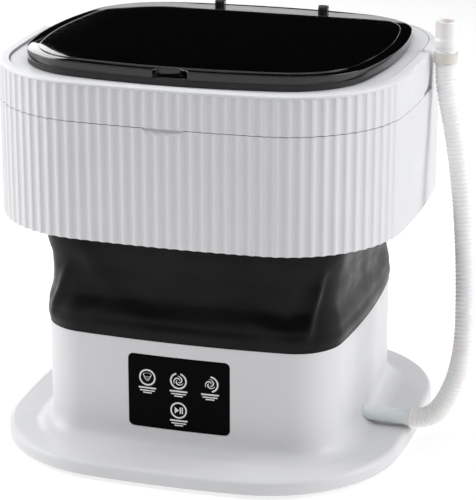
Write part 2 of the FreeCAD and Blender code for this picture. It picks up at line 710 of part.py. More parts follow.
def ring_shell(flutes):
    """White ribbed skirt with a ledge for the handle, a rounded rear rim and a finger scoop."""
    body = new_body("ring_wall")
    pad(body, "ring_bottom", "rear_top", lambda sketch: rounded(sketch, "ring"))
    top = value("rear_top") - 0.01
    fillet(body, value("rear_round"), lambda edge: edge.ZMin > top)
    pocket(body, "ring_bottom", "seam_level - wall", lambda sketch: rounded(sketch, "ring", "wall"))
    pocket(body, "seam_level - wall - 1", "rim_top + 1",
           lambda sketch: rounded(sketch, "ring", "recess_inset + wall"))
    pocket(body, "plate_bottom", "rim_top + 1",
           lambda sketch: rounded(sketch, "ring", "recess_inset - 0.4"))
    backing = box(("-scoop_half", "-ring_half_y + 1.2", "seam_level - 9"),
                  ("scoop_half", "-ring_half_y + 5.2", "seam_level - 1"))
    below_seam = box(("-scoop_half", "-ring_half_y - 9", "seam_level - 9"),
                     ("scoop_half", "0", "seam_level + 1"))
    ball = sphere("scoop_radius", "0", "-ring_half_y - scoop_ahead", "seam_level + scoop_rise")
    scoop = common(ball, below_seam)
    pins = [cylinder("pivot_radius + 0.02", "12", start, "pivot_y", "pivot_level", ALONG_X)
            for start in ("ring_half_x - 16", "-ring_half_x + 4")]
    solid = cut(fuse(cut(body, handle_space()), backing), fuse(scoop, *pins))
    keep(cut(solid, flutes), "ring_shell")


def carry_handle(flutes):
    """Ribbed band round the front that swings up on two side pivots."""
    band = frame("handle_band", "seam_level + gap", "rim_top", ("ring",), ("ring", "handle_inset"))
    top, half_x, half_y = (value(name) for name in ("rim_top", "ring_half_x", "ring_half_y"))
    fillet(band, 2, lambda edge: edge.ZMin > top - 0.01
           and (max(edge.XMax, -edge.XMin) > half_x - 2 or max(edge.YMax, -edge.YMin) > half_y - 2))
    width, start = "2 * ring_half_x + 4", "-ring_half_x - 2"
    end, side = "pivot_y + ear_radius", "ring_half_x + 2"
    arm = [cylinder("ear_radius", width, start, "pivot_y", "pivot_level", ALONG_X),
           box((start, "0", "pivot_level - ear_radius"), (side, "pivot_y", "pivot_level")),
           box((start, "0", "pivot_level"), (side, f"{end} - ear_corner", "rim_top + 1")),
           box((start, "0", "pivot_level"), (side, end, "rim_top - ear_corner")),
           cylinder("ear_corner", width, start, f"{end} - ear_corner", "rim_top - ear_corner", ALONG_X),
           box(("-ring_half_x - 2", "-ring_half_y - 2", "seam_level"),
               ("ring_half_x + 2", "0", "rim_top + 1"))]
    outside = [box((low, "0.01", "seam_level"), (high, "rear_start", "rim_top + 1"))
               for low, high in (("ring_half_x - 1.3", "ring_half_x + 2"),
                                 ("-ring_half_x - 2", "-ring_half_x + 1.3"))]
    bores = [cylinder("pivot_radius + 0.08", "7.1", start, "pivot_y", "pivot_level", ALONG_X)
             for start in ("ring_half_x - 10", "-ring_half_x + 2.9")]
    solid = cut(common(band, fuse(*arm)), fuse(*outside, *bores))
    keep(cut(solid, flutes), "carry_handle")


def handle_pivots():
    """Headed pins pushed outwards from inside the ring into blind bores in the handle."""
    for side, start, turn in (("right", "ring_half_x - 13.8", ALONG_X),
                              ("left", "-ring_half_x + 13.8", ALONG_X.inverted())):
        keep(turned("handle_pivot_" + side,
                    [("0", "0"), ("5.2", "0"), ("5.2", "1.5"), ("pivot_radius", "1.5"),
                     ("pivot_radius", "10.7"), ("0", "10.7")],
                    x=start, y="pivot_y", z="pivot_level", rotation=turn))


RING_SCREWS = ([(x, y) for x, y in corners("60", "(column_half_y + 14)")]
               + [(x, y) for x, y in corners("(column_half_x + 14)", "50")])


def ring_top():
    """Flat top around the filling opening, with the clamp that holds the bucket's upper hem."""
    plate = frame("top_plate_blank", "plate_bottom", "plate_top",
                  ("ring", "recess_inset + 0.2"), ("column", "-0.5"))
    pilots = [cylinder("1.45", "1.7", x, y, "plate_bottom - 0.1") for x, y in RING_SCREWS]
    keep(cut(plate, fuse(*pilots)), "ring_top_plate")
    clamp = frame("upper_clamp_blank", "plate_bottom - 5", "plate_bottom - 2",
                  ("column", "-18"), ("column", "-3.6"))
    holes = [cylinder("1.6", "5", x, y, "plate_bottom - 6") for x, y in RING_SCREWS]
    keep(cut(clamp, fuse(*holes)), "upper_clamp_ring")
    screws("ring_screws", RING_SCREWS, "plate_bottom - 6.8", "3", "1.8", "1.4", "6.4")


# ---------------------------------------------------------------- lid

def lid_level(front, back, y):
    """Height at y of a straight slope between the lid's front and back edges."""
    return f"{front} + ({back} - {front}) * ({y} + lid_half_y) / (2 * lid_half_y)"


def lid_top_slope(offset):
    """Side outline from under the lid up to its sloping top, raised by an offset."""
    low, near, far = "lid_bottom", "-lid_half_y - 20", "lid_half_y + 20"
    return [(near, low), (far, low),
            (far, lid_level("lid_front_top", "lid_back_top", far) + offset),
            (near, lid_level("lid_front_top", "lid_back_top", near) + offset)]


def frame_slope(offset):
    """Side outline of the part of the lid's frame that shows, which thins out to the back."""
    near, end = "-lid_half_y - 20", "lid_seam_end"
    rise = f"(lid_front_seam - lid_bottom) * ({end} - ({near})) / ({end} + lid_half_y)"
    return [(near, "lid_bottom - 1"), (end, "lid_bottom - 1"), (end, f"lid_bottom {offset}"),
            (near, f"lid_bottom {offset} + {rise}")]


def lid():
    """Glossy cover, highest at its front, on a dark frame that plugs the filling opening."""
    high = "lid_front_top + 4"
    edge_block = frame("lid_edge_block", "lid_bottom", high, ("lid",))
    middle_block = frame("lid_middle_block", "lid_bottom", high, ("lid", "lid_raise_inset"))
    inner_block = frame("lid_inner_block", "lid_bottom - 2", high, ("lid", "wall"))
    cover = fuse(common(edge_block, side_profile("lid_slope", lid_top_slope(""))),
                 common(middle_block, side_profile("lid_raised_slope", lid_top_slope(" + lid_raise"))))
    hollow = common(inner_block, side_profile("lid_hollow_slope", lid_top_slope(" - lid_skin")))
    notch = cylinder("15.4", "20", "0", "-lid_half_y - 6.4", "lid_bottom - 2")
    notch_wall = cylinder("18", "20", "0", "-lid_half_y - 6.4", "lid_bottom - 2")
    step = side_profile("frame_space", frame_slope("+ 0"))
    keep(cut(cover, fuse(cut(hollow, notch_wall), notch, step)), "lid_panel")
    rim = new_body("lid_tray")
    pad(rim, "lid_bottom + 0.2", "lid_bottom + 2",
        lambda sketch: [rounded(sketch, "lid", "wall + 0.2"), rounded(sketch, "column", "6")])
    pad(rim, "plate_bottom - 6", "lid_bottom + 1.9",
        lambda sketch: [rounded(sketch, "column", "1.8"), rounded(sketch, "column", "4")])
    show = common(frame("lid_frame_band", "lid_bottom + 0.2", high, ("lid", "0.4"), ("lid", "6")),
                  side_profile("frame_slope", frame_slope("- 0.15")))
    keep(fuse(rim, show), "lid_frame")
    keep(frame("lid_gasket", "plate_bottom - 3", "plate_bottom", ("column", "1"), ("column", "1.8")))


def lid_hinges():
    """Two small hinges behind the lid: knuckle on the lid, fork and pin on the ring."""
    for side, sign in (("right", ""), ("left", "-")):
        middle = f"{sign}hinge_x"
        barrel = fuse(cylinder("hinge_radius", "4.4", f"{middle} - 2.2", "hinge_y", "hinge_level",
                               ALONG_X),
                      box((f"{middle} - 2.2", "lid_half_y - 6", "hinge_level - 3"),
                          (f"{middle} + 2.2", "hinge_y", "hinge_level + 2")))
        bore = cylinder("1.28", "8", f"{middle} - 4", "hinge_y", "hinge_level", ALONG_X)
        lid_space = frame("lid_space_" + side, "lid_bottom - 2", "lid_front_top", ("lid", "-0.02"))
        keep(cut(barrel, fuse(bore, lid_space)), "lid_knuckle_" + side)
        cheeks = []
        for start, stop in ((f"{middle} - 4", f"{middle} - 2.5"), (f"{middle} + 2.5", f"{middle} + 4")):
            cheeks.append(fuse(cylinder("3", "1.5", start, "hinge_y", "hinge_level", ALONG_X),
                               box((start, "hinge_y - 2.4", "plate_top"),
                                   (stop, "hinge_y + 3", "hinge_level"))))
        pin_hole = cylinder("1.22", "12", f"{middle} - 6", "hinge_y", "hinge_level", ALONG_X)
        foot = box((f"{middle} - 4", "hinge_y - 2.4", "plate_top"),
                   (f"{middle} + 4", "hinge_y + 3", "plate_top + 0.9"))
        keep(cut(fuse(foot, *cheeks), pin_hole), "hinge_fork_" + side)
        keep(cylinder("1.2", "8.4", f"{middle} - 4.2", "hinge_y", "hinge_level", ALONG_X),
             "hinge_pin_" + side)


# ---------------------------------------------------------------- build and write

base_shell()
base_underside()
power_inlet()
control_panel()
tub_floor()
bucket()
drain()
drain_hose()
drive_plate(motor())
spindle()
pulsator()
spin_basket()
flute_tools = flute_cutters()
ring_shell(flute_tools)
carry_handle(flute_tools)
handle_pivots()
ring_top()
lid()
lid_hinges()

doc.recompute()
for thing in doc.Objects:
    if {"Invalid", "Error"} & set(thing.State):
        raise RuntimeError(f"{thing.Label} failed: {thing.State}")
labels = [node.Label for node in nodes]
if len(set(labels)) != len(labels):
    raise RuntimeError("two pieces share a label")
os.makedirs("parts", exist_ok=True)
for node in nodes:
    if node.Shape.isNull() or not node.Shape.isValid() or not node.Shape.Solids:
        raise RuntimeError(f"{node.Label} has no valid solid")
    node.Shape.exportStep(f"parts/{node.Label}.step")
    print(f"{node.Label}: {len(node.Shape.Solids)} solid(s), {node.Shape.Volume / 1000:.1f} cm3")
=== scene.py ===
"""Looks of the portable mini washer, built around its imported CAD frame. Lengths are metres."""
import json
import math

import bmesh
import bpy
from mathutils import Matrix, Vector, noise


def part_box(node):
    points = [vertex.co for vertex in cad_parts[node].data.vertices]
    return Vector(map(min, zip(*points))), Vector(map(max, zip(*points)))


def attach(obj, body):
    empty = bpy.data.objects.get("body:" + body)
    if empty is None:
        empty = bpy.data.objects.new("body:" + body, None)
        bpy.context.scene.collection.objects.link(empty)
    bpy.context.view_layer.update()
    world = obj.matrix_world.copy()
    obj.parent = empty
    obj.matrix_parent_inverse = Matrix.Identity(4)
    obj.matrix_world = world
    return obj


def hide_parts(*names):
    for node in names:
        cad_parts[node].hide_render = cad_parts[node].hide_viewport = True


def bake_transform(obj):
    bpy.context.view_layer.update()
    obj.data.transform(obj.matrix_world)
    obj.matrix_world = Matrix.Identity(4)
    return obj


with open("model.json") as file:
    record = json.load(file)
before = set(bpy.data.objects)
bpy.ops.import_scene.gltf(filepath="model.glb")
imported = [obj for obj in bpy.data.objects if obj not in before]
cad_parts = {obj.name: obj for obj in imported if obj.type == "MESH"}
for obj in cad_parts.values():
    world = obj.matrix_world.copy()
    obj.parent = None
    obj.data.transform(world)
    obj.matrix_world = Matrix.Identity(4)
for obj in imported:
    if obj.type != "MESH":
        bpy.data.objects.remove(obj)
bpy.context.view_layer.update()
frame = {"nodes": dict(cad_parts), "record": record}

MM = 0.001

# ---------------------------------------------------------------- camera

CAMERA_AZIMUTH = math.radians(16.9)
CAMERA_ELEVATION = math.radians(18.4)
CAMERA_DISTANCE = 1.8236
CAMERA_LENS = 158.9
LOOK_RIGHT = 0.0116
LOOK_HEIGHT = 0.1442


def add_camera():
    """Camera turned to the right of the front and a little above, on a long lens."""
    azimuth, elevation = CAMERA_AZIMUTH, CAMERA_ELEVATION
    right = Vector((math.cos(azimuth), math.sin(azimuth), 0))
    back = Vector((math.sin(azimuth) * math.cos(elevation),
                   -math.cos(azimuth) * math.cos(elevation), math.sin(elevation)))
    target = right * LOOK_RIGHT + Vector((0, 0, LOOK_HEIGHT))
    data = bpy.data.cameras.new("camera")
    data.lens = CAMERA_LENS
    data.clip_end = 50
    camera = bpy.data.objects.new("camera", data)
    camera.location = target + back * CAMERA_DISTANCE
    camera.rotation_euler = back.to_track_quat("Z", "Y").to_euler()
    bpy.context.scene.collection.objects.link(camera)
    bpy.context.scene.camera = camera


add_camera()

# ---------------------------------------------------------------- materials

# The part of a noise's range that colours and roughness are spread over.
NOISE_LOW, NOISE_HIGH = 0.35, 0.65
# Half width, half depth and corner radius of the lid.
LID_OUTLINE = (145 * MM, 136 * MM, 66.5 * MM)
# The lid's crown begins this far inside the outline and has fallen by its drop at the border.
LID_CROWN_REACH = 48 * MM
LID_BORDER = 9.6 * MM
LID_CROWN_DROP = 3.4 * MM
LID_EDGE_RADIUS = 1.3 * MM


def shader_of(material):
    """Principled node of a material."""
    return material.node_tree.nodes["Principled BSDF"]


def new_material(name, colour, roughness, **sockets):
    """A Principled material, with further sockets by their name."""
    material = bpy.data.materials.new(name)
    material.use_nodes = True
    shader = shader_of(material)
    shader.inputs["Base Color"].default_value = (*colour, 1)
    shader.inputs["Roughness"].default_value = roughness
    for socket, setting in sockets.items():
        shader.inputs[socket.replace("_", " ")].default_value = setting
    return material


def add_node(material, kind, **settings):
    """New node, with settings that name its sockets or, failing that, its properties."""
    node = material.node_tree.nodes.new(kind)
    for name, setting in settings.items():
        if name in node.inputs:
            node.inputs[name].default_value = setting
        else:
            setattr(node, name, setting)
    return node


def join(material, start, socket, end, target):
    """Links an output socket of one node to an input socket of another."""
    material.node_tree.links.new(start.outputs[socket], end.inputs[target])


def object_noise(material, scale, detail=4, stretch=None):
    """Noise in the object's own coordinates, which are the row frame's at rest."""
    place = add_node(material, "ShaderNodeTexCoord")
    grain = add_node(material, "ShaderNodeTexNoise", Scale=scale, Detail=detail)
    if stretch:
        mapping = add_node(material, "ShaderNodeMapping", Scale=stretch)
        join(material, place, "Object", mapping, "Vector")
        join(material, mapping, "Vector", grain, "Vector")
    else:
        join(material, place, "Object", grain, "Vector")
    return grain


def drive_roughness(material, scale, low, high, stretch=None):
    """Lets a noise move the roughness between low and high."""
    node = add_node(material, "ShaderNodeMapRange")
    for socket, number in (("From Min", NOISE_LOW), ("From Max", NOISE_HIGH),
                           ("To Min", low), ("To Max", high)):
        node.inputs[socket].default_value = number
    join(material, object_noise(material, scale, 5, stretch), "Fac", node, "Value")
    join(material, node, "Result", shader_of(material), "Roughness")


def drive_colour(material, scale, low, high, stretch=None):
    """Lets a noise move the colour between low and high."""
    node = add_node(material, "ShaderNodeValToRGB")
    first, last = node.color_ramp.elements
    first.position, last.position = NOISE_LOW, NOISE_HIGH
    first.color, last.color = (*low, 1), (*high, 1)
    join(material, object_noise(material, scale, 3, stretch), "Fac", node, "Fac")
    join(material, node, "Color", shader_of(material), "Base Color")


def surface_relief(material, layers, edge=0.0):
    """Stacks bump layers of (scale, height in metres, stretch) on softened edges."""
    previous = None
    if edge:
        previous = add_node(material, "ShaderNodeBevel", samples=6, Radius=edge)
    for scale, height, stretch in layers:
        bump = add_node(material, "ShaderNodeBump", Strength=1, Distance=height)
        join(material, object_noise(material, scale, 4, stretch), "Fac", bump, "Height")
        if previous:
            join(material, previous, "Normal", bump, "Normal")
        previous = bump
    join(material, previous, "Normal", shader_of(material), "Normal")


def moulded(name, light, dark, roughness, edge=0.5 * MM, grain=0.012 * MM):
    """Injection-moulded plastic: fine spark texture, faint flow marks, softened edges."""
    material = new_material(name, light, roughness)
    drive_colour(material, 9, dark, light)
    drive_roughness(material, 60, roughness - 0.05, roughness + 0.06)
    surface_relief(material, [(2600, grain, None), (30, 0.02 * MM, None)], edge)
    return material


def flat_black(name):
    """Satin black of the control panel and its keys, which hardly mirrors anything."""
    material = new_material(name, (0.0014, 0.0014, 0.0015), 0.32, Specular_IOR_Level=0.03)
    drive_roughness(material, 120, 0.28, 0.38)
    surface_relief(material, [(900, 0.003 * MM, None)], 0.3 * MM)
    return material


def maths(material, operation, *operands):
    """Result of a Math node over numbers and (node, socket) pairs, as such a pair."""
    node = add_node(material, "ShaderNodeMath", operation=operation)
    for index, operand in enumerate(operands):
        if isinstance(operand, tuple):
            join(material, *operand, node, index)
        else:
            node.inputs[index].default_value = operand
    return node, "Value"


def lid_gloss(name):
    """Polished black lid whose middle curves down towards its round-cornered border."""
    material = new_material(name, (0.0006, 0.0006, 0.0007), 0.05, Specular_IOR_Level=0.5,
                            Coat_Weight=0.35, Coat_Roughness=0.02)
    drive_roughness(material, 45, 0.045, 0.075, (1, 4, 1))
    half_x, half_y, corner = LID_OUTLINE
    place = add_node(material, "ShaderNodeTexCoord")
    split = add_node(material, "ShaderNodeSeparateXYZ")
    join(material, place, "Object", split, "Vector")
    squares = []
    for axis, half in (("X", half_x), ("Y", half_y)):
        side = maths(material, "ABSOLUTE", (split, axis))
        past = maths(material, "MAXIMUM", maths(material, "SUBTRACT", side, half - corner), 0.0)
        squares.append(maths(material, "MULTIPLY", past, past))
    away = maths(material, "SQRT", maths(material, "ADD", *squares))
    near = maths(material, "MAXIMUM", maths(material, "SUBTRACT", away, corner - LID_CROWN_REACH), 0.0)
    share = maths(material, "DIVIDE", near, LID_CROWN_REACH - LID_BORDER)
    share = maths(material, "MINIMUM", share, 1.0)
    fall = maths(material, "MULTIPLY", maths(material, "POWER", share, 2.0), -LID_CROWN_DROP)
    edge = add_node(material, "ShaderNodeBevel", samples=8, Radius=LID_EDGE_RADIUS)
    crown = add_node(material, "ShaderNodeBump", Strength=1, Distance=1)
    join(material, *fall, crown, "Height")
    join(material, edge, "Normal", crown, "Normal")
    ripple = add_node(material, "ShaderNodeBump", Strength=1, Distance=0.004 * MM)
    join(material, object_noise(material, 14), "Fac", ripple, "Height")
    join(material, crown, "Normal", ripple, "Normal")
    join(material, ripple, "Normal", shader_of(material), "Normal")
    return material


def metal(name, colour, roughness, stretch):
    """Turned or rolled metal, its roughness and relief drawn out along one axis."""
    material = new_material(name, colour, roughness, Metallic=1.0)
    drive_roughness(material, 500, roughness - 0.08, roughness + 0.12, stretch)
    surface_relief(material, [(900, 0.006 * MM, stretch)], 0.25 * MM)
    return material


def rubber(name, colour, roughness):
    material = new_material(name, colour, roughness, Specular_IOR_Level=0.35)
    drive_roughness(material, 300, roughness - 0.06, roughness + 0.08)
    surface_relief(material, [(1800, 0.03 * MM, None)], 0.4 * MM)
    return material


def film(name):
    """Black thermoplastic film of the bucket: soft sheen, handling marks, fine crinkle."""
    material = new_material(name, (0.002, 0.002, 0.0025), 0.38, Specular_IOR_Level=0.13,
                            Sheen_Weight=0.12, Sheen_Roughness=0.35)
    drive_colour(material, 26, (0.002, 0.002, 0.0025), (0.005, 0.005, 0.0055))
    drive_roughness(material, 38, 0.33, 0.46, (1, 1, 2.2))
    surface_relief(material, [(40, 0.06 * MM, (1, 1, 0.45)), (1500, 0.012 * MM, None)])
    return material


def hose_plastic(name):
    """Milky flexible plastic that lets some light through."""
    material = new_material(name, (0.93, 0.93, 0.925), 0.36, Subsurface_Weight=0.35,
                            Subsurface_Scale=0.004)
    drive_colour(material, 22, (0.90, 0.90, 0.89), (0.95, 0.95, 0.945))
    drive_roughness(material, 90, 0.30, 0.44)
    surface_relief(material, [(1200, 0.01 * MM, None)], 0.2 * MM)
    return material


def circuit(name):
    material = new_material(name, (0.012, 0.10, 0.035), 0.3, Coat_Weight=0.4)
    drive_colour(material, 130, (0.010, 0.085, 0.03), (0.02, 0.15, 0.05), (1, 1, 3))
    surface_relief(material, [(420, 0.02 * MM, (1, 1, 4))])
    return material


def print_white(name):
    material = new_material(name, (0.82, 0.82, 0.82), 0.45)
    drive_colour(material, 400, (0.76, 0.76, 0.76), (0.86, 0.86, 0.86))
    surface_relief(material, [(2500, 0.004 * MM, None)])
    return material


# Materials of the record's slots.
MATERIALS = {
    "white_housing": moulded("white_housing", (0.72, 0.72, 0.732), (0.70, 0.70, 0.713), 0.42,
                            0.25 * MM),
    "white_inner": moulded("white_inner", (0.76, 0.76, 0.765), (0.72, 0.72, 0.725), 0.47),
    "white_soft": hose_plastic("white_soft"),
    "beige_clip": moulded("beige_clip", (0.74, 0.71, 0.65), (0.70, 0.67, 0.61), 0.45),
    "black_matt": moulded("black_matt", (0.022, 0.022, 0.023), (0.016, 0.016, 0.017), 0.5),
    "bucket_film": film("bucket_film"),
    "black_rubber": rubber("black_rubber", (0.02, 0.02, 0.02), 0.72),
    "green_board": circuit("green_board"),
    "steel": metal("steel", (0.60, 0.60, 0.61), 0.30, (1, 1, 0.05)),
    "magnet": rubber("magnet", (0.05, 0.05, 0.055), 0.6),
    "gear_nylon": moulded("gear_nylon", (0.72, 0.70, 0.63), (0.66, 0.64, 0.57), 0.4),
}
PRINT = print_white("panel_print")
PANEL_BLACK = flat_black("panel_black")
KEYS = ("key_spin", "key_long_wash", "key_short_wash", "key_start_pause")
# Nodes of the slot black_gloss, which covers two finishes.
OWN_MATERIAL = {"lid_panel": lid_gloss("lid_gloss"), "control_fascia": PANEL_BLACK}
OWN_MATERIAL.update({key: PANEL_BLACK for key in KEYS})


def dress_cad_nodes():
    """Gives every CAD node its own material, or that of its slot in the record."""
    for entry in frame["record"]["subparts"]:
        node = frame["nodes"][entry["node"]]
        node.data.materials.clear()
        node.data.materials.append(OWN_MATERIAL.get(entry["node"])
                                   or MATERIALS[entry["material_slot"]])


dress_cad_nodes()

# ---------------------------------------------------------------- mesh helpers


def new_object(name, mesh, material):
    """Links a mesh as a smooth-shaded piece."""
    piece = bpy.data.objects.new(name, mesh)
    mesh.materials.append(material)
    mesh.shade_smooth()
    bpy.context.scene.collection.objects.link(piece)
    return piece


def mesh_from(name, points, faces):
    mesh = bpy.data.meshes.new(name)
    mesh.from_pydata([tuple(point) for point in points], [], faces)
    mesh.validate()
    return mesh


# Plan outline of the column, which the bucket's sleeve follows: half sizes, corner, side bow.
COLUMN = (125.5 * MM, 119 * MM, 39 * MM, 4 * MM)


def soft_rectangle(outline, share):
    """Point and outward direction at a share of the way round a bowed, round-cornered outline.

    The walk starts at the middle of the front and goes to the right."""
    half_x, half_y, corner, bow = outline
    x, y = half_x - corner - bow, half_y - corner - bow
    swell = (corner + bow) ** 2 - corner ** 2
    end_radius = (x * x + swell) / (2 * bow)
    side_radius = (y * y + swell) / (2 * bow)
    end_turn = math.atan2(x, end_radius - half_y + y)
    side_turn = math.atan2(y, side_radius - half_x + x)
    corner_turn = math.pi / 2 - end_turn - side_turn
    lengths = [end_turn * end_radius, corner_turn * corner, side_turn * side_radius]
    quarter = sum(lengths)
    walk = (share % 1) * 4 * quarter
    flip_x = walk > 2 * quarter
    if flip_x:
        walk = 4 * quarter - walk
    flip_y = walk > quarter
    if flip_y:
        walk = 2 * quarter - walk
    if walk < lengths[0]:
        turn = walk / end_radius
        point = (end_radius * math.sin(turn), end_radius - half_y - end_radius * math.cos(turn))
    elif walk < lengths[0] + lengths[1]:
        turn = end_turn + (walk - lengths[0]) / corner
        point = (x + corner * math.sin(turn), -y - corner * math.cos(turn))
    else:
        turn = math.pi / 2 - (quarter - walk) / side_radius
        point = (half_x - side_radius + side_radius * math.sin(turn), -side_radius * math.cos(turn))
    normal = [math.sin(turn), -math.cos(turn)]
    point = list(point)
    if flip_y:
        point[1], normal[1] = -point[1], -normal[1]
    if flip_x:
        point[0], normal[0] = -point[0], -normal[0]
    return Vector((*point, 0)), Vector((*normal, 0))


# ---------------------------------------------------------------- folding bucket

BUCKET_LOW, BUCKET_HIGH = (corner.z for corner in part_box("bucket"))
SLEEVE_COLUMNS = 520
SLEEVE_ROWS = 150
SLEEVE_PERIMETER = 940
# Rows are closer together near the base, where the film is creased.
ROW_SPACING_POWER = 1.25
FILM_THICKNESS = 1.1 * MM
# The film lies smooth at the base's hem, is fully creased at this height in millimetres, and is
# smooth again at the second height, after a fade of the third.
CREASES_GROWN, CREASES_GONE, CREASES_FADE = 12, 118, 24
# Ends of a crease as shares of a half wave, so that neither end is quite flat.
CREASE_START, CREASE_SPAN = 0.08, 0.84
# Millimetres that the slow wander, the short ripple and the sag at the corners move the film,
# and the height up to which the corners sag.
WANDER, RIPPLE, SAG, SAG_TOP = 0.8, 0.16, 1.6, 92

# How far the sleeve stands out from the column's outline at rising heights.
SLEEVE_PROFILE = [(0.0, 0.2), (0.008, 1.3), (0.016, 0.4), (0.034, -2.6), (0.052, -1.6),
                  (0.075, 1.6), (0.092, 2.6), (0.21, 2.6)]

# Creases: share of the way round at their foot, height of the foot, share and height of the head,
# how far they stand out and how wide they are. Shares run from the front middle to the right.
CREASES = [(0.112, 5, 0.131, 64, 4.4, 6), (0.098, 16, 0.118, 66, -1.6, 9),
           (0.150, 70, 0.190, 40, 1.6, 16), (0.100, 10, 0.060, 30, 1.2, 12),
           (0.106, 64, 0.070, 80, 0.8, 12), (0.030, 34, 0.075, 56, -0.8, 13),
           (0.868, 6, 0.893, 54, 3.4, 7), (0.853, 34, 0.858, 66, -4.0, 13),
           (0.890, 10, 0.930, 30, 1.4, 11), (0.905, 80, 0.925, 44, 2.0, 14),
           (0.975, 24, 0.935, 52, -0.9, 13), (0.385, 8, 0.368, 64, 3.2, 7),
           (0.360, 20, 0.376, 72, -2.2, 6), (0.620, 8, 0.634, 66, 3.0, 7),
           (0.645, 18, 0.628, 74, -2.2, 6), (0.250, 30, 0.215, 52, -1.0, 12),
           (0.750, 26, 0.790, 52, -1.4, 9), (0.500, 28, 0.455, 54, -1.3, 9)]


def between(table, place):
    """Smooth value of a table of (place, value) pairs."""
    if place <= table[0][0]:
        return table[0][1]
    for (low, start), (high, stop) in zip(table, table[1:]):
        if place <= high:
            share = (place - low) / (high - low)
            share = share * share * (3 - 2 * share)
            return start + (stop - start) * share
    return table[-1][1]


def crease_height(share, height):
    """Millimetres that the creases add at a place on the sleeve."""
    total = 0.0
    for foot, foot_height, head, head_height, stand, width in CREASES:
        across = ((share - foot + 0.5) % 1 - 0.5) * SLEEVE_PERIMETER
        reach_x = ((head - foot + 0.5) % 1 - 0.5) * SLEEVE_PERIMETER
        reach_z = head_height - foot_height
        length = reach_x * reach_x + reach_z * reach_z
        along = max(0.0, min(1.0, (across * reach_x + (height - foot_height) * reach_z) / length))
        away = math.hypot(across - along * reach_x, height - foot_height - along * reach_z)
        fade = math.sin(math.pi * (CREASE_START + CREASE_SPAN * along))
        total += stand * fade * math.exp(-(away / width) ** 2 * 2)
    return total


def sleeve_offset(share, height):
    """How far the film stands out from the column's outline, in millimetres."""
    rise = height / MM
    place = soft_rectangle(COLUMN, share)[0]
    wander = noise.fractal(Vector((place.x * 11, place.y * 11, height * 14)), 1.0, 2.0, 3)
    ripple = noise.noise(Vector((place.x * 34 + 7, place.y * 34, height * 46)))
    grown = min(1.0, rise / CREASES_GROWN)
    body = grown * max(0.0, min(1.0, (CREASES_GONE - rise) / CREASES_FADE))
    flat = math.sin(2 * math.pi * share * 2) ** 2
    sag = -SAG * (1 - flat) * math.sin(math.pi * min(1.0, rise / SAG_TOP)) ** 2
    crease = crease_height(share, rise)
    return between(SLEEVE_PROFILE, height) + body * (WANDER * wander + RIPPLE * ripple + crease + sag)


def build_bucket():
    """Wrinkled film sleeve from the base's hem to the hem under the ring's top."""
    points, faces = [], []
    height = BUCKET_HIGH - BUCKET_LOW
    for row in range(SLEEVE_ROWS + 1):
        rise = height * (row / SLEEVE_ROWS) ** ROW_SPACING_POWER
        for column in range(SLEEVE_COLUMNS):
            share = column / SLEEVE_COLUMNS
            place, out = soft_rectangle(COLUMN, share)
            point = place + out * sleeve_offset(share, rise) * MM
            point.z = BUCKET_LOW + rise
            points.append(point)
    for row in range(SLEEVE_ROWS):
        for column in range(SLEEVE_COLUMNS):
            after = (column + 1) % SLEEVE_COLUMNS
            low, high = row * SLEEVE_COLUMNS, (row + 1) * SLEEVE_COLUMNS
            faces.append((low + column, low + after, high + after, high + column))
    sleeve = new_object("bucket_sleeve", mesh_from("bucket_sleeve", points, faces),
                        MATERIALS["bucket_film"])
    thicken = sleeve.modifiers.new("film", "SOLIDIFY")
    thicken.thickness = FILM_THICKNESS
    thicken.offset = -1
    bpy.context.view_layer.objects.active = sleeve
    bpy.ops.object.modifier_apply(modifier=thicken.name)
    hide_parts("bucket")
    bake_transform(sleeve)


build_bucket()

# ---------------------------------------------------------------- drain hose

HOSE_ROUTE = [(0.1645, -0.020, 0.023), (0.175, -0.020, 0.023), (0.1865, -0.0195, 0.0295),
              (0.1955, -0.0175, 0.044), (0.2025, -0.014, 0.064), (0.2055, -0.009, 0.091),
              (0.2043, -0.003, 0.124), (0.201, 0.005, 0.165), (0.195, 0.014, 0.208),
              (0.1868, 0.0225, 0.250), (0.1785, 0.028, 0.281), (0.1752, 0.030, 0.301),
              (0.1752, 0.030, 0.322)]
HOSE_DIAMETER = 0.017
RIB_PITCH = 3.4 * MM
RIB_DEPTH = 0.65 * MM
HOSE_SIDES = 36
RINGS_PER_RIB = 6


def hose_line():
    """Points along the hose's smooth line, read from a NURBS curve without a bevel."""
    curve = bpy.data.curves.new("hose_route", "CURVE")
    curve.dimensions = "3D"
    spline = curve.splines.new("NURBS")
    spline.points.add(len(HOSE_ROUTE) - 1)
    for point, place in zip(spline.points, HOSE_ROUTE):
        point.co = (*place, 1)
    spline.order_u = 3
    spline.use_endpoint_u = True
    spline.resolution_u = 24
    holder = bpy.data.objects.new("hose_route", curve)
    bpy.context.scene.collection.objects.link(holder)
    bpy.context.view_layer.update()
    line = bpy.data.meshes.new_from_object(holder)
    points = [vertex.co.copy() for vertex in line.vertices]
    bpy.data.objects.remove(holder)
    return points


def evenly(points, count):
    """The same line as count points an equal distance apart."""
    walked = [0.0]
    for before, after in zip(points, points[1:]):
        walked.append(walked[-1] + (after - before).length)
    result, index = [], 0
    for step in range(count):
        target = walked[-1] * step / (count - 1)
        while index < len(points) - 2 and walked[index + 1] < target:
            index += 1
        span = walked[index + 1] - walked[index]
        share = (target - walked[index]) / span if span else 0
        result.append(points[index].lerp(points[index + 1], share))
    return result, walked[-1]


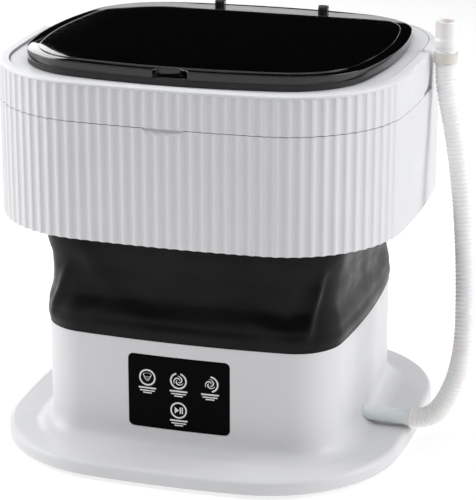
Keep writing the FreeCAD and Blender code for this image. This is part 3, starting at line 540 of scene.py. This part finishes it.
def sweep(name, line, radii, sides, material):
    """A closed round body along a line, with one radius for each of its points."""
    points, faces = [], []
    side = Vector((0, 1, 0))
    for index, place in enumerate(line):
        ahead = line[min(index + 1, len(line) - 1)] - line[max(index - 1, 0)]
        ahead.normalize()
        side = (side - ahead * side.dot(ahead)).normalized()
        up = ahead.cross(side)
        for step in range(sides):
            turn = 2 * math.pi * step / sides
            points.append(place + (side * math.cos(turn) + up * math.sin(turn)) * radii[index])
    for index in range(len(line) - 1):
        for step in range(sides):
            after = (step + 1) % sides
            low, high = index * sides, (index + 1) * sides
            faces.append((low + step, low + after, high + after, high + step))
    faces.append(tuple(reversed(range(sides))))
    last = (len(line) - 1) * sides
    faces.append(tuple(range(last, last + sides)))
    return new_object(name, mesh_from(name, points, faces), material)


def build_hose():
    """Corrugated drain hose that leaves the nozzle and rises to the clip beside the ring."""
    route = hose_line()
    _, length = evenly(route, 2)
    ribs = round(length / RIB_PITCH)
    line, length = evenly(route, ribs * RINGS_PER_RIB + 1)
    radii = []
    for index in range(len(line)):
        wave = 0.5 - 0.5 * math.cos(2 * math.pi * index / RINGS_PER_RIB)
        radii.append(HOSE_DIAMETER / 2 - RIB_DEPTH * (1 - wave) ** 1.6)
    hose = sweep("corrugated_hose", line, radii, HOSE_SIDES, MATERIALS["white_soft"])
    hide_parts("drain_hose")
    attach(hose, "base")


build_hose()

# ---------------------------------------------------------------- panel print

PRINT_LIFT = 0.03 * MM
PRINT_THICKNESS = 0.05 * MM
KEY_MARK_RADIUS = 6.3 * MM
STROKE = 1.25 * MM
CURVE_STEPS = 40


def column_front(x):
    """Y of the column's bowed front face at x."""
    half_x, half_y, corner, bow = COLUMN
    reach = half_x - corner - bow
    radius = (reach * reach + (corner + bow) ** 2 - corner ** 2) / (2 * bow)
    return radius - half_y - math.sqrt(radius * radius - x * x)


class Marks:
    """Flat printed shapes on the column's front, gathered into one mesh."""

    def __init__(self):
        self.points = []
        self.faces = []

    def band(self, inner, outer, closed=False):
        """Fills the space between two lines of as many points."""
        start = len(self.points)
        count = len(inner)
        for one, other in zip(inner, outer):
            self.points += [one, other]
        for index in range(count if closed else count - 1):
            a, b = start + 2 * index, start + 2 * ((index + 1) % count)
            self.faces.append((a, b, b + 1, a + 1))

    def shape(self, outline):
        start = len(self.points)
        self.points += outline
        self.faces.append(tuple(range(start, start + len(outline))))

    def bar(self, x, z, width, height):
        columns = 9
        xs = [x + width * (step / (columns - 1) - 0.5) for step in range(columns)]
        self.band([(place, z - height / 2) for place in xs], [(place, z + height / 2) for place in xs])

    def arc(self, x, z, radius, start, stop, width=STROKE, squash=1.0):
        """An open or closed ring of the given stroke; angles in degrees from +X."""
        closed = abs(stop - start) >= 360
        steps = CURVE_STEPS if closed else CURVE_STEPS + 1
        turns = [math.radians(start + (stop - start) * step / CURVE_STEPS) for step in range(steps)]
        lines = [[(x + reach * math.cos(turn), z + squash * reach * math.sin(turn)) for turn in turns]
                 for reach in (radius - width / 2, radius + width / 2)]
        self.band(*lines, closed=closed)

    def whirl(self, x, z, start, inner, outer, sweep_angle, width):
        """A curved blade that thins towards both of its ends."""
        inside, outside = [], []
        for step in range(CURVE_STEPS + 1):
            share = step / CURVE_STEPS
            turn = math.radians(start + sweep_angle * share)
            reach = inner + (outer - inner) * share
            half = width / 2 * math.sin(math.pi * (0.06 + 0.88 * share))
            for line, radius in ((inside, reach - half), (outside, reach + half)):
                line.append((x + radius * math.cos(turn), z + radius * math.sin(turn)))
        self.band(inside, outside)

    def build(self, name, body, material):
        """A thin closed print just proud of the panel, facing forwards."""
        mesh = bpy.data.meshes.new(name)
        shapes = bmesh.new()
        corners = [shapes.verts.new((x, column_front(x) - PRINT_LIFT, z)) for x, z in self.points]
        for face in self.faces:
            shapes.faces.new([corners[index] for index in face])
        bmesh.ops.recalc_face_normals(shapes, faces=shapes.faces)
        for face in shapes.faces:
            if face.normal.y > 0:
                face.normal_flip()
        shapes.to_mesh(mesh)
        shapes.free()
        piece = new_object(name, mesh, material)
        mesh.shade_flat()
        thicken = piece.modifiers.new("ink", "SOLIDIFY")
        thicken.thickness = PRINT_THICKNESS
        thicken.offset = 1
        bpy.context.view_layer.objects.active = piece
        bpy.ops.object.modifier_apply(modifier=thicken.name)
        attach(piece, body)
        return piece


def key_centre(node):
    low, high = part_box(node)
    return (low.x + high.x) / 2, (low.z + high.z) / 2


def spin_mark(marks, x, z):
    """Closed ring round a narrowing whirl."""
    marks.arc(x, z, KEY_MARK_RADIUS, 0, 360)
    for lift, radius in ((1.9, 3.3), (0.4, 2.7), (-1.0, 1.9), (-2.3, 1.1)):
        marks.arc(x, z + lift * MM, radius * MM, -205, 25, 0.62 * MM, 0.42)
    marks.arc(x, z + 2.5 * MM, 3.1 * MM, 0, 180, 0.5 * MM, 0.4)


def swirl(marks, x, z):
    for start in (20, 140, 260):
        marks.whirl(x, z, start, 0.9 * MM, 4.3 * MM, 200, 1.1 * MM)


def long_wash_mark(marks, x, z):
    """Ring with a gap at its top round a swirl."""
    marks.arc(x, z, KEY_MARK_RADIUS, 106, 434)
    swirl(marks, x, z)


def short_wash_mark(marks, x, z):
    """Open ring on the right round a swirl."""
    marks.arc(x, z, KEY_MARK_RADIUS, -75, 85)
    swirl(marks, x, z)


def start_pause_mark(marks, x, z):
    """Ring round a triangle and two bars."""
    marks.arc(x, z, KEY_MARK_RADIUS, 0, 360)
    marks.shape([(x - 3.3 * MM, z - 2.8 * MM), (x + 0.4 * MM, z), (x - 3.3 * MM, z + 2.8 * MM)])
    for offset in (1.35, 3.05):
        marks.bar(x + offset * MM, z, 1.0 * MM, 5.4 * MM)


def build_panel_print():
    """Marks on the keys, and on the panel a bar and two thin generic lines under each."""
    panel = Marks()
    for node, draw in (("key_spin", spin_mark), ("key_long_wash", long_wash_mark),
                       ("key_short_wash", short_wash_mark), ("key_start_pause", start_pause_mark)):
        x, z = key_centre(node)
        marks = Marks()
        draw(marks, x, z)
        marks.build("mark_" + node, node, PRINT)
        panel.bar(x, z - 8.8 * MM, 14.6 * MM, 1.3 * MM)
        panel.bar(x, z - 11.1 * MM, 12.4 * MM, 0.95 * MM)
        panel.bar(x, z - 12.9 * MM, 7.2 * MM, 0.95 * MM)
    panel.build("panel_marks", "base", PRINT)


build_panel_print()

# ---------------------------------------------------------------- studio

STAGE_RADIUS = 6.0
WALL_HEIGHT = 0.5
STAGE_SIDES = 96
FLOOR_GLOW = 0.62
# Name, place, place it points at, width and height, watts and colour of each soft lamp.
LAMPS = [("overhead", (0.0, 0.0, 2.6), (0, 0, 0.1), (3.6, 3.4), 74, (0.97, 0.98, 1)),
         ("right_box", (2.3, 0.3, 1.2), (0, 0, 0.15), (1.7, 1.5), 36, (1, 1, 1)),
         ("left_box", (-2.2, -0.25, 1.2), (0, 0, 0.15), (1.3, 1.6), 40, (1, 1, 1)),
         ("rear_left_box", (-1.50, 1.87, 0.95), (0, 0, 0.3), (0.95, 1.0), 10, (1, 1, 1)),
         ("front_fill", (-0.2, -2.6, 2.6), (0, 0, 0.1), (2.0, 1.4), 3, (0.93, 0.95, 1))]


def area_light(name, place, target, size, power, colour):
    """Rectangular lamp that faces its target."""
    data = bpy.data.lights.new(name, "AREA")
    data.shape = "RECTANGLE"
    data.size, data.size_y = size
    data.energy = power
    data.color = colour
    light = bpy.data.objects.new(name, data)
    light.location = place
    light.rotation_euler = (Vector(place) - Vector(target)).to_track_quat("Z", "Y").to_euler()
    bpy.context.scene.collection.objects.link(light)


def build_stage():
    """Plain pale floor with a low pale wall far round it, in dim surroundings."""
    turns = [2 * math.pi * step / STAGE_SIDES for step in range(STAGE_SIDES)]
    rim = [(STAGE_RADIUS * math.cos(turn), STAGE_RADIUS * math.sin(turn)) for turn in turns]
    points = [(x, y, 0) for x, y in rim] + [(x, y, WALL_HEIGHT) for x, y in rim]
    faces = [tuple(range(STAGE_SIDES))]
    for step in range(STAGE_SIDES):
        after = (step + 1) % STAGE_SIDES
        faces.append((step, after, after + STAGE_SIDES, step + STAGE_SIDES))
    pale = new_material("floor", (0.45, 0.45, 0.45), 0.9, Specular_IOR_Level=0.0,
                        Emission_Strength=FLOOR_GLOW, Emission_Color=(1, 1, 1, 1))
    new_object("floor", mesh_from("floor", points, faces), pale)
    world = bpy.data.worlds.new("surround")
    world.use_nodes = True
    world.node_tree.nodes["Background"].inputs["Color"].default_value = (0.004, 0.004, 0.0045, 1)
    bpy.context.scene.world = world


build_stage()
for lamp in LAMPS:
    area_light(*lamp)
bpy.context.scene.view_settings.view_transform = "Standard"
bpy.context.scene.view_settings.look = "None"
